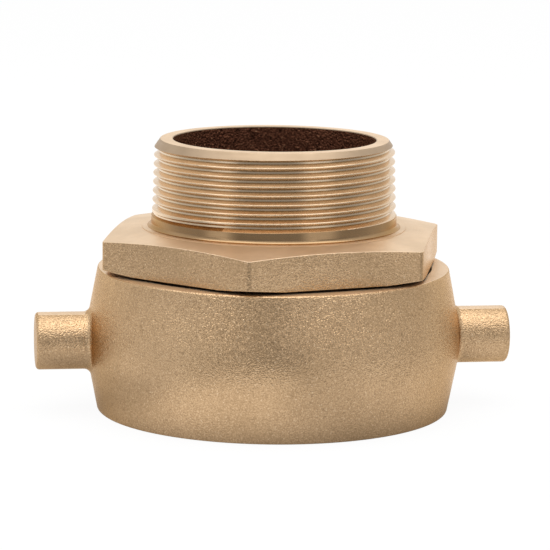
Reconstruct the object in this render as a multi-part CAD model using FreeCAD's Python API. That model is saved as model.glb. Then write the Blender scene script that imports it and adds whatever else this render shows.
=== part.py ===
import FreeCAD, Part
import math
import os

# Swivel hose adapter. A hex nipple with a male taper pipe thread stands in a free-turning
# swivel with a female hose thread and two pin lugs. A full ring of balls, loaded through a
# plugged hole, holds the two together. Millimetres and degrees. The axis is Z, the swivel's
# mouth stands on z = 0 and the lugs lie along X.

V = FreeCAD.Vector

# Hose end of the swivel: 2 1/2 inch hose thread, 7.5 turns to the inch, over a flat gasket.
hose_thread_major = 78.3
hose_thread_depth = 2.2
hose_thread_length = 16.0
mouth_depth = 3.0
mouth_relief = 0.35
gasket_lip = 1.35
gasket_width = 8.35
gasket_thickness = 4.76
gasket_fit = 0.15
gasket_play = 0.24

# Swivel casting, drafted both ways from the parting plane through the lugs.
seat_width = 2.65
neck_length = 11.5
barrel_wall = 5.75
barrel_draft = 11.0
barrel_round = 32.0
rim_round = 0.4
lug_height = 17.45
lug_diameter = 14.2
lug_length = 12.6
lug_root_round = 2.2
lug_edge_round = 0.9

# Ball race between the swivel's neck and the nipple's skirt.
ball_diameter = 4.7625
ball_fit = 0.12
skirt_fit = 0.3
plug_diameter = 6.35
plug_fit = 0.02
plug_inset = 0.5
plug_slot_width = 1.2
plug_slot_depth = 1.2

# Nipple casting below the thread: skirt, hexagon and collar.
face_gap = 0.25
skirt_wall = 5.95
hex_gap = 0.5
hex_overhang = 1.25
hex_height = 9.5
hex_edge_round = 1.5
hex_rim_round = 0.5
hex_turn = 14.6
hex_top_slope = 9.65
hex_under_slope = 11.2
hex_under_width = 3.2
hex_land_width = 3.95
spot_face_width = 2.4
spot_face_height = 0.15
collar_height = 3.05
collar_step = 0.15
collar_root_round = 1.0

# Pipe end of the nipple: 2 inch taper pipe thread, 11.5 turns to the inch, 1 in 16 on the diameter.
pipe_diameter = 60.3
pipe_taper = 1 / 16
pipe_thread_length = 18.65
pipe_thread_pitch = 2.209
pipe_thread_depth = 1.3
pipe_thread_crest = 0.3
pipe_thread_root = 0.4
pipe_thread_turn = 321
pipe_wall = 5.15
pipe_chamfer = 1.4
pipe_chamfer_height = 2.1

# Edges broken by a light cut, how far a cutting tool passes a face, and how close points must be to match.
edge_break = 0.5
overrun = 1.0
match = 0.01

# Heights of the faces, from the mouth up.
gasket_floor_z = mouth_depth + hose_thread_length
gasket_seat_z = gasket_floor_z + gasket_thickness + gasket_play
race_z = gasket_seat_z + neck_length / 2
swivel_top_z = gasket_seat_z + neck_length
skirt_end_z = gasket_seat_z + face_gap
hex_bottom_z = swivel_top_z + hex_gap
hex_top_z = hex_bottom_z + hex_height
collar_foot_z = hex_top_z + spot_face_height
thread_start_z = hex_top_z + collar_height
pipe_top_z = thread_start_z + pipe_thread_length

# Radii, from the hose thread to the gasket, then outwards to the barrel and inwards to the skirt.
hose_major_radius = hose_thread_major / 2
hose_minor_radius = hose_major_radius - hose_thread_depth
mouth_radius = hose_major_radius + mouth_relief
gasket_radius = hose_major_radius + gasket_lip
recess_radius = gasket_radius + gasket_fit
neck_radius = recess_radius - seat_width
skirt_radius = neck_radius - skirt_fit
skirt_bore_radius = skirt_radius - skirt_wall
race_radius = (neck_radius + skirt_radius) / 2
groove_radius = ball_diameter / 2 + ball_fit
barrel_radius = recess_radius + barrel_wall
lug_radius = lug_diameter / 2
lug_tip_radius = barrel_radius + lug_length
plug_radius = plug_diameter / 2
hex_flat_radius = skirt_radius + hex_overhang
hex_corner_radius = hex_flat_radius / math.cos(math.radians(30))
pipe_radius = pipe_diameter / 2
pipe_slope = pipe_taper / 2
pipe_end_radius = pipe_radius - pipe_thread_length * pipe_slope
waterway_radius = pipe_radius - pipe_wall
collar_radius = pipe_radius + collar_step
land_radius = collar_radius + hex_land_width

# The barrel's two drafted sides would meet here if the parting line were not rounded.
draft_slope = math.tan(math.radians(barrel_draft))
barrel_apex_radius = barrel_radius + barrel_round * (1 / math.cos(math.radians(barrel_draft)) - 1)


def barrel_side(z):
    """Radius of the swivel's drafted outer side at a height away from the parting plane."""
    return barrel_apex_radius - abs(z - lug_height) * draft_slope


def corner_arc(before, corner, after, rounding):
    """Arc that rounds a corner of an outline, tangent to the sides that lead to its neighbours."""
    back = before - corner
    ahead = after - corner
    half_angle = back.getAngle(ahead) / 2
    shortest_side = min(back.Length, ahead.Length)
    setback = min(rounding / math.tan(half_angle), 0.49 * shortest_side)
    radius = setback * math.tan(half_angle)
    back.normalize()
    ahead.normalize()
    inward = back + ahead
    inward.normalize()
    middle = corner + inward * (radius / math.sin(half_angle) - radius)
    return Part.Arc(corner + back * setback, middle, corner + ahead * setback).toShape()


def turned(corners):
    """Solid turned about Z from an outline of (radius, height) or (radius, height, rounding) corners."""
    points = [V(corner[0], 0, corner[1]) for corner in corners]
    roundings = [corner[2] if len(corner) > 2 else 0 for corner in corners]
    count = len(points)
    arcs = {}
    for index, rounding in enumerate(roundings):
        if rounding:
            after = points[(index + 1) % count]
            arcs[index] = corner_arc(points[index - 1], points[index], after, rounding)
    edges = []
    for index, point in enumerate(points):
        following = (index + 1) % count
        if index in arcs:
            edges.append(arcs[index])
        start = arcs[index].lastVertex().Point if index in arcs else point
        end = arcs[following].firstVertex().Point if following in arcs else points[following]
        edges.append(Part.makeLine(start, end))
    return Part.Face(Part.Wire(edges)).revolve(V(0, 0, 0), V(0, 0, 1), 360)


def race():
    """Round groove that both castings share, a little larger than the balls."""
    return Part.makeTorus(race_radius, groove_radius, V(0, 0, race_z), V(0, 0, 1))


def lug(side):
    """Pin lug along X from the axis to its tip, with a rounded rim at the tip; side is 1 or -1."""
    pin = Part.makeCylinder(lug_radius, lug_tip_radius, V(0, 0, lug_height), V(side, 0, 0))
    rim = [edge for edge in pin.Edges if abs(edge.CenterOfMass.x - side * lug_tip_radius) < match]
    return pin.makeFillet(lug_edge_round, rim)


def is_lug_root(edge):
    """True for an edge where a lug's side runs into the barrel."""
    points = edge.discretize(5)
    on_side = all(abs(math.hypot(point.y, point.z - lug_height) - lug_radius) < match for point in points)
    on_barrel = all(math.hypot(point.x, point.y) < barrel_radius + match for point in points)
    return on_side and on_barrel


def swivel_bore():
    """Space inside the swivel: mouth, thread at its minor diameter, gasket recess and neck."""
    thread_lead = mouth_radius - hose_minor_radius
    return turned([
        (0, -overrun),
        (mouth_radius + edge_break + overrun, -overrun),
        (mouth_radius, edge_break),
        (mouth_radius, mouth_depth),
        (hose_minor_radius, mouth_depth + thread_lead),
        (hose_minor_radius, gasket_floor_z),
        (recess_radius, gasket_floor_z),
        (recess_radius, gasket_seat_z),
        (neck_radius, gasket_seat_z),
        (neck_radius, swivel_top_z - edge_break),
        (neck_radius + edge_break + overrun, swivel_top_z + overrun),
        (0, swivel_top_z + overrun),
    ])


def fill_hole():
    """Radial hole at the back through which the balls enter the race."""
    return Part.makeCylinder(plug_radius + plug_fit, barrel_radius, V(0, race_radius, race_z), V(0, 1, 0))


def swivel_body():
    """Swivel casting with its lugs, bored, grooved for the balls and drilled for the plug."""
    barrel = turned([
        (0, 0),
        (barrel_side(0), 0, rim_round),
        (barrel_apex_radius, lug_height, barrel_round),
        (barrel_side(swivel_top_z), swivel_top_z, rim_round),
        (0, swivel_top_z),
    ])
    casting = barrel.fuse([lug(1), lug(-1)]).removeSplitter()
    roots = [edge for edge in casting.Edges if is_lug_root(edge)]
    casting = casting.makeFillet(lug_root_round, roots)
    return casting.cut([swivel_bore(), race(), fill_hole()])


def hex_bar():
    """Hexagonal bar with blunt corners that holds the whole nipple."""
    angles = [math.radians(hex_turn + 60 * side) for side in range(7)]
    corners = [V(hex_corner_radius * math.cos(angle), hex_corner_radius * math.sin(angle), skirt_end_z)
               for angle in angles]
    bar = Part.Face(Part.makePolygon(corners)).extrude(V(0, 0, pipe_top_z - skirt_end_z))
    corner_edges = [edge for edge in bar.Edges if edge.BoundBox.ZLength > hex_height]
    return bar.makeFillet(hex_edge_round, corner_edges)


def is_hex_rim(edge):
    """True for an edge where the hexagon's sides run out into the turned faces above and below."""
    radii = [math.hypot(point.x, point.y) for point in edge.discretize(5)]
    return min(radii) > hex_flat_radius - match and max(radii) - min(radii) > match


def nipple_envelope():
    """Nipple as turned from a round: skirt, chamfered hexagon blank, collar and thread at its crests."""
    blank_radius = hex_corner_radius + overrun
    under_radius = skirt_radius + hex_under_width
    under_rise = (blank_radius - under_radius) * math.tan(math.radians(hex_under_slope))
    top_fall = (blank_radius - land_radius) * math.tan(math.radians(hex_top_slope))
    return turned([
        (0, skirt_end_z),
        (skirt_radius - edge_break, skirt_end_z),
        (skirt_radius, skirt_end_z + edge_break),
        (skirt_radius, hex_bottom_z),
        (under_radius, hex_bottom_z),
        (blank_radius, hex_bottom_z + under_rise),
        (blank_radius, hex_top_z - top_fall),
        (land_radius, hex_top_z),
        (collar_radius + spot_face_width, hex_top_z),
        (collar_radius + spot_face_width, collar_foot_z),
        (collar_radius, collar_foot_z, collar_root_round),
        (collar_radius, thread_start_z),
        (pipe_radius, thread_start_z),
        (pipe_end_radius + pipe_chamfer_height * pipe_slope, pipe_top_z - pipe_chamfer_height),
        (pipe_end_radius - pipe_chamfer, pipe_top_z),
        (0, pipe_top_z),
    ])


def waterway():
    """Passage through the nipple, wide in the skirt and narrowing through the hexagon."""
    return turned([
        (0, skirt_end_z - overrun),
        (skirt_bore_radius, skirt_end_z - overrun),
        (skirt_bore_radius, hex_bottom_z),
        (waterway_radius, hex_top_z),
        (waterway_radius, pipe_top_z + overrun),
        (0, pipe_top_z + overrun),
    ])


def pipe_groove():
    """Helical groove of the pipe thread, from half a turn above the collar to past the nipple's end."""
    start_rise = pipe_thread_pitch / 2
    start_radius = pipe_radius - start_rise * pipe_slope
    length = pipe_thread_length - start_rise + pipe_thread_pitch
    path = Part.makeLongHelix(pipe_thread_pitch, length, start_radius, -math.degrees(math.atan(pipe_slope)))
    half_width = (pipe_thread_pitch - pipe_thread_crest) / 2
    half_root = pipe_thread_root / 2
    flank = (half_width - half_root) / pipe_thread_depth
    clear = pipe_thread_crest / 4
    wide = half_width + clear * flank
    deep = start_radius - pipe_thread_depth
    out = start_radius + clear
    corners = [V(deep, 0, -half_root), V(deep, 0, half_root), V(out, 0, wide), V(out, 0, -wide)]
    section = Part.makePolygon(corners + corners[:1])
    groove = Part.Wire(path.Edges).makePipeShell([section], True, True)
    groove.rotate(V(0, 0, 0), V(0, 0, 1), pipe_thread_turn)
    groove.translate(V(0, 0, thread_start_z + start_rise))
    return groove


def hex_nipple():
    """Nipple casting: the turned envelope within the hexagon, bored, grooved for the balls and threaded."""
    blank = nipple_envelope().common(hex_bar())
    rims = [edge for edge in blank.Edges if is_hex_rim(edge)]
    casting = blank.makeFillet(hex_rim_round, rims).cut([waterway(), race()])
    return casting.cut(pipe_groove())


def gasket():
    """Flat rubber washer pressed up against the swivel's seat."""
    bottom = V(0, 0, gasket_seat_z - gasket_thickness)
    washer = Part.makeCylinder(gasket_radius, gasket_thickness, bottom)
    return washer.cut(Part.makeCylinder(gasket_radius - gasket_width, gasket_thickness, bottom))


def fill_plug():
    """Slotted plug from the groove's floor to just below the swivel's side."""
    inner_end = race_radius + groove_radius
    outer_end = barrel_side(race_z + plug_radius) - plug_inset
    plug = Part.makeCylinder(plug_radius, outer_end - inner_end, V(0, inner_end, race_z), V(0, 1, 0))
    slot_corner = V(-plug_radius, outer_end - plug_slot_depth, race_z - plug_slot_width / 2)
    slot = Part.makeBox(plug_diameter, plug_slot_depth, plug_slot_width, slot_corner)
    return plug.cut(slot)


def race_balls():
    """Balls spread evenly round the race, as many as it holds with their fit between neighbours."""
    count = int(2 * math.pi * race_radius / (ball_diameter + ball_fit))
    balls = []
    for index in range(count):
        angle = 2 * math.pi * (index + 0.5) / count
        centre = V(race_radius * math.cos(angle), race_radius * math.sin(angle), race_z)
        balls.append(Part.makeSphere(ball_diameter / 2, centre))
    return balls


os.makedirs("parts", exist_ok=True)
hex_nipple().exportStep("parts/hex_nipple.step")
swivel_body().exportStep("parts/swivel_body.step")
gasket().exportStep("parts/gasket.step")
fill_plug().exportStep("parts/fill_plug.step")
for number, ball in enumerate(race_balls(), start=1):
    ball.exportStep(f"parts/race_ball_{number:02d}.step")
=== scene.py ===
"""Look of the swivel hose adapter: a bronze swivel turning on balls round a hexagon pipe nipple."""
import logging
import math
from contextlib import contextmanager
from dataclasses import dataclass, field
from enum import Enum
from typing import Any, Callable, Iterator, Sequence

import bmesh
import bpy
from mathutils import Matrix, Vector


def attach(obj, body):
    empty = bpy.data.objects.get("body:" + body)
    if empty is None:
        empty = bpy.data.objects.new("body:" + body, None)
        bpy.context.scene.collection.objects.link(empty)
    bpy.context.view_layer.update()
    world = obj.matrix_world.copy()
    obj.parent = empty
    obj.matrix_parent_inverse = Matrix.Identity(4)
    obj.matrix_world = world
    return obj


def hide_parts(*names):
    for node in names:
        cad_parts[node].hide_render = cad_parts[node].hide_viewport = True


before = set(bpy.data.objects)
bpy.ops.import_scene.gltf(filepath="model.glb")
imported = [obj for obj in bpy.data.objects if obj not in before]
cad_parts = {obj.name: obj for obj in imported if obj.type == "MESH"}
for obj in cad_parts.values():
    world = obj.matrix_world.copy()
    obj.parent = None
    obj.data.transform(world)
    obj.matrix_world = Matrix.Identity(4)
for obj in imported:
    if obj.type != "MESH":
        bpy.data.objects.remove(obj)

MM = 0.001
PER_METRE = 1000.0
FULL_TURN = 2.0 * math.pi
QUARTER_TURN = math.pi / 2.0
# Half of the angle that one side of a hexagon takes.
HEX_HALF = math.radians(30.0)
# Points this near to each other, in metres, count as one. Wires and level edges use the closer value.
SAME_POINT = 1e-6
CLOSE_POINT = 1e-7
NODE_SPACING = 220.0
WHITE = (1.0, 1.0, 1.0, 1.0)
UPRIGHT = Vector((0.0, 0.0, 1.0))
BACKWARD = Vector((0.0, 1.0, 0.0))
log = logging.getLogger("swivel_hose_adapter")

Colour = tuple[float, float, float, float]
Stops = tuple[tuple[float, float], ...]


class Element(Enum):
    """What can be selected in edit mode, with the name of its list in a mesh."""

    VERT = "verts"
    EDGE = "edges"
    FACE = "faces"


class Carving(Enum):
    """What a tool solid does to a piece."""

    CUT = "DIFFERENCE"
    TRIM = "INTERSECT"


class Finish(Enum):
    """The finishes that faces can have, with the words that name their materials."""

    CAST = "cast bronze"
    TURNED = "turned bronze"
    # Painted shade: the collar's turned bronze is written darker than the thread's.
    COLLAR = "dull bronze"
    # Painted shade: the end chamfer's turned bronze is written darker than the rest.
    FACED = "faced bronze"
    CORED = "cored waterway"
    # Painted shade: near-black bronze on the running faces in the gap between the nipple and the swivel,
    # for the gap's shadow.
    GREASED = "greased running faces"
    PIPE_THREAD = "cut pipe thread"
    HOSE_THREAD = "cut hose thread"
    RUBBER = "gasket rubber"
    BRASS = "plug brass"
    STEEL = "ball steel"


Materials = dict[Finish, bpy.types.Material]


@dataclass(frozen=True)
class Corner:
    """A corner of a turned outline: its radius and height, and the rounding that it gets."""

    radius: float
    height: float
    rounding: float = 0.0
    segments: int = 3


# Helpers that every piece uses.

def axis_distance(place: Vector) -> float:
    """Returns a place's distance from the upright axis."""
    return math.hypot(place.x, place.y)


def faces_axis(middle: Vector, normal: Vector) -> bool:
    """Says whether a face looks towards the upright axis."""
    return middle.x * normal.x + middle.y * normal.y < 0.0


def deselect_all() -> None:
    """Goes back to object mode and clears the selection."""
    if bpy.context.object is not None and bpy.context.object.mode != "OBJECT":
        bpy.ops.object.mode_set(mode="OBJECT")
    bpy.ops.object.select_all(action="DESELECT")


def make_active(piece: bpy.types.Object) -> None:
    """Makes a piece the only selected object and the active one.

    Args:
        piece: The object.
    """
    deselect_all()
    piece.select_set(True)
    bpy.context.view_layer.objects.active = piece


@contextmanager
def editing(piece: bpy.types.Object) -> Iterator[None]:
    """Opens a piece in edit mode with nothing selected, and closes it again.

    Args:
        piece: The mesh object to open.
    """
    make_active(piece)
    bpy.ops.object.mode_set(mode="EDIT")
    bpy.ops.mesh.select_mode(type="VERT")
    bpy.ops.mesh.select_all(action="DESELECT")
    yield
    bpy.ops.object.mode_set(mode="OBJECT")


def select_where(piece: bpy.types.Object, kind: Element, test: Callable[[Any], bool]) -> None:
    """Selects the vertices, edges or faces of the piece in edit mode that pass a test.

    Args:
        piece: The mesh object in edit mode.
        kind: What is selected.
        test: Says of a vertex, edge or face whether it is selected.
    """
    bpy.ops.mesh.select_mode(type=kind.name)
    bpy.ops.mesh.select_all(action="DESELECT")
    mesh = bmesh.from_edit_mesh(piece.data)
    mesh.normal_update()
    chosen = [element for element in getattr(mesh, kind.value) if test(element)]
    for element in chosen:
        element.select_set(True)
    mesh.select_flush_mode()
    bmesh.update_edit_mesh(piece.data)


def place_selected(piece: bpy.types.Object, place: Callable[[Vector], Vector]) -> None:
    """Moves each selected vertex of the piece in edit mode to a place worked out from its own.

    Args:
        piece: The mesh object in edit mode.
        place: Gives the new place for an old one.
    """
    mesh = bmesh.from_edit_mesh(piece.data)
    for vert in mesh.verts:
        if vert.select:
            vert.co = place(vert.co)
    bmesh.update_edit_mesh(piece.data)


def close_normals() -> None:
    """Merges doubles and turns all normals of the open piece outwards."""
    bpy.ops.mesh.select_mode(type="VERT")
    bpy.ops.mesh.select_all(action="SELECT")
    bpy.ops.mesh.remove_doubles(threshold=SAME_POINT)
    bpy.ops.mesh.normals_make_consistent(inside=False)


def wire_outline(name: str, corners: Sequence[Corner]) -> bpy.types.Object:
    """Draws a closed outline in the XZ plane by extruding one vertex from corner to corner.

    Args:
        name: The new object's name.
        corners: The outline's corners, in order.

    Returns:
        The object, a closed wire with its roundings.
    """
    deselect_all()
    bpy.ops.mesh.primitive_plane_add(size=MM, location=(0.0, 0.0, 0.0))
    piece = bpy.context.object
    piece.name = name
    piece.data.name = name
    with editing(piece):
        bpy.ops.mesh.select_all(action="SELECT")
        bpy.ops.mesh.merge(type="CENTER")
        first = corners[0]
        bpy.ops.transform.translate(value=(first.radius, 0.0, first.height))
        last = first
        for corner in [*corners[1:], first]:
            step = (corner.radius - last.radius, 0.0, corner.height - last.height)
            bpy.ops.mesh.extrude_region_move(TRANSFORM_OT_translate={"value": step})
            last = corner
        bpy.ops.mesh.select_all(action="SELECT")
        bpy.ops.mesh.remove_doubles(threshold=CLOSE_POINT)
        for corner in corners:
            if corner.rounding > 0.0:
                point = Vector((corner.radius, 0.0, corner.height))
                select_where(piece, Element.VERT, lambda vert: (vert.co - point).length < SAME_POINT)
                bpy.ops.mesh.bevel(
                    offset=corner.rounding, segments=corner.segments, affect="VERTICES", profile=0.5
                )
    return piece


def turned_blank(name: str, corners: Sequence[Corner], steps: int) -> bpy.types.Object:
    """Turns a closed outline round the upright axis.

    Args:
        name: The new object's name.
        corners: The outline's corners, in order.
        steps: The number of steps round the axis.

    Returns:
        The closed, turned solid.
    """
    piece = wire_outline(name, corners)
    with editing(piece):
        bpy.ops.mesh.select_all(action="SELECT")
        bpy.ops.mesh.spin(steps=steps, angle=FULL_TURN, center=(0, 0, 0), axis=(0, 0, 1))
        close_normals()
    return piece


def apply_modifier(piece: bpy.types.Object, kind: str, **settings: Any) -> None:
    """Adds a modifier to a piece, sets it and applies it.

    Args:
        piece: The mesh object.
        kind: The modifier's type.
        **settings: The modifier's values by name.
    """
    make_active(piece)
    modifier = piece.modifiers.new(kind.title(), kind)
    for key, value in settings.items():
        setattr(modifier, key, value)
    bpy.ops.object.modifier_apply(modifier=modifier.name)


def carve(piece: bpy.types.Object, tool: bpy.types.Object, carving: Carving) -> None:
    """Cuts or trims a piece with a tool solid, which is then removed.

    Args:
        piece: The mesh object to change.
        tool: The solid to use.
        carving: What the tool does.
    """
    apply_modifier(piece, "BOOLEAN", operation=carving.value, solver="MANIFOLD", object=tool)
    bpy.data.meshes.remove(tool.data)


def round_bar(
    name: str, radius: float, start: Vector, end: Vector, sides: int = 96
) -> bpy.types.Object:
    """Makes a plain round bar between two points.

    Args:
        name: The new object's name.
        radius: The bar's radius.
        start: The middle of its first end.
        end: The middle of its second end.
        sides: The number of sides.

    Returns:
        The bar, with its place in its mesh.
    """
    deselect_all()
    run = end - start
    bpy.ops.mesh.primitive_cylinder_add(vertices=sides, radius=radius, depth=run.length)
    bar = bpy.context.object
    bar.name = name
    turn = UPRIGHT.rotation_difference(run.normalized()).to_matrix().to_4x4()
    bar.data.transform(Matrix.Translation((start + end) / 2.0) @ turn)
    return bar


def smooth(piece: bpy.types.Object, crease: float) -> None:
    """Shades a piece smooth except at sharp edges, with large faces staying true.

    Args:
        piece: The mesh object.
        crease: The angle in degrees from which an edge stays sharp.
    """
    make_active(piece)
    bpy.ops.object.shade_smooth_by_angle(angle=math.radians(crease))
    apply_modifier(piece, "WEIGHTED_NORMAL", mode="FACE_AREA_WITH_ANGLE", weight=50, keep_sharp=True)


def give_finishes(
    piece: bpy.types.Object,
    finishes: Sequence[Finish],
    choose: Callable[[Vector, Vector], Finish],
    materials: Materials,
) -> None:
    """Gives each face of a piece its finish.

    Args:
        piece: The mesh object.
        finishes: The finishes that the piece has, in slot order.
        choose: Gives the finish for a face's middle and normal.
        materials: The material of each finish.
    """
    piece.data.materials.clear()
    for finish in finishes:
        piece.data.materials.append(materials[finish])
    slots = {finish: index for index, finish in enumerate(finishes)}
    for face in piece.data.polygons:
        face.material_index = slots[choose(face.center, face.normal)]


@dataclass(frozen=True)
class VThread:
    """A 60 degree screw thread: where it runs, and the helical tool that cuts its groove."""

    pitch: float
    crest_radius: float
    depth: float
    crest_flat: float
    start: float
    turns: float
    phase: float = 0.0
    taper: float = 0.0
    inside: bool = False
    # The turns over which the tool sinks in at the start and lifts out at the end.
    runout: float = 0.0
    lead: float = 0.0
    flank_angle: float = 30.0
    relief: float = 1.2 * MM
    edge_break: float = 0.07 * MM
    crest_clear: float = 0.01 * MM
    lift: float = 0.3 * MM
    lift_curve: float = 1.6
    steps: int = 120

    def section(self) -> list[Corner]:
        """Gives the outline of the groove's cutting tool at the thread's start.

        The tool is a truncated V whose mouth flares a little, which breaks the crests' edges.

        Returns:
            The outline's corners.
        """
        out = -1.0 if self.inside else 1.0
        slope = math.tan(math.radians(self.flank_angle))
        mouth = (self.pitch - self.crest_flat) / 2.0
        flank = mouth - slope * self.edge_break
        root = mouth - slope * self.depth
        wide = mouth + self.edge_break
        lower = [
            Corner(self.crest_radius + out * self.relief, self.start - wide - slope * self.edge_break),
            Corner(self.crest_radius + out * self.crest_clear, self.start - wide),
            Corner(self.crest_radius - out * self.edge_break, self.start - flank),
            Corner(self.crest_radius - out * self.depth, self.start - root),
        ]
        upper = [Corner(corner.radius, 2.0 * self.start - corner.height) for corner in reversed(lower)]
        return [*lower, *upper]

    def tool(self, name: str) -> bpy.types.Object:
        """Sweeps the section along the helix, gives it the thread's taper and closes its ends.

        Args:
            name: The tool's name.

        Returns:
            The closed helical tool.
        """
        corners = self.section()
        tool = wire_outline(name, corners)
        steps = int(self.steps * self.turns)
        apply_modifier(
            tool, "SCREW", axis="Z", angle=FULL_TURN * self.turns, screw_offset=self.pitch * self.turns,
            steps=steps, render_steps=steps, use_merge_vertices=False, use_smooth_shade=False,
        )
        tool.data.transform(Matrix.Rotation(math.radians(self.phase), 4, "Z"))
        with editing(tool):
            mesh = bmesh.from_edit_mesh(tool.data)
            for vert in mesh.verts:
                vert.co = self.run_place(vert.co, vert.index // len(corners))
            bmesh.update_edit_mesh(tool.data)
            bpy.ops.mesh.select_all(action="SELECT")
            bpy.ops.mesh.fill_holes(sides=0)
            bpy.ops.mesh.select_all(action="SELECT")
            bpy.ops.mesh.normals_make_consistent(inside=False)
        return tool

    def run_place(self, place: Vector, step: int) -> Vector:
        """Gives a tool vertex its taper and its run-out.

        Args:
            place: The vertex's place on the straight helix.
            step: The number of its section along the helix.

        Returns:
            The place on the tapered helix.
        """
        turned = step / self.steps
        left = self.turns - turned
        shift = -self.taper * (place.z - self.start)
        clear = self.depth + self.lift
        if turned < self.runout:
            shift += clear * (1.0 - turned / self.runout) ** self.lift_curve
        if left < self.lead:
            shift += clear * (1.0 - left / self.lead) ** self.lift_curve
        radius = axis_distance(place)
        scale = (radius + shift) / radius
        return Vector((place.x * scale, place.y * scale, place.z))


@dataclass(frozen=True)
class BallRace:
    """The ball race, half of it cut into the nipple's skirt and half into the swivel's neck."""

    height: float = 29.75 * MM
    radius: float = 37.85 * MM
    groove_radius: float = 2.50125 * MM
    arc_steps: int = 12

    def groove(self, wall: float) -> list[Corner]:
        """Gives the outline of the groove in a turned wall.

        Args:
            wall: The wall's radius.

        Returns:
            The groove's corners, upwards.
        """
        side = math.copysign(1.0, wall - self.radius)
        half = math.sqrt(self.groove_radius ** 2 - (wall - self.radius) ** 2)
        reach = math.asin(half / self.groove_radius)
        corners = []
        for step in range(self.arc_steps + 1):
            angle = -reach + 2.0 * reach * step / self.arc_steps
            radius = self.radius + side * self.groove_radius * math.cos(angle)
            corners.append(Corner(radius, self.height + self.groove_radius * math.sin(angle)))
        return corners


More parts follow.
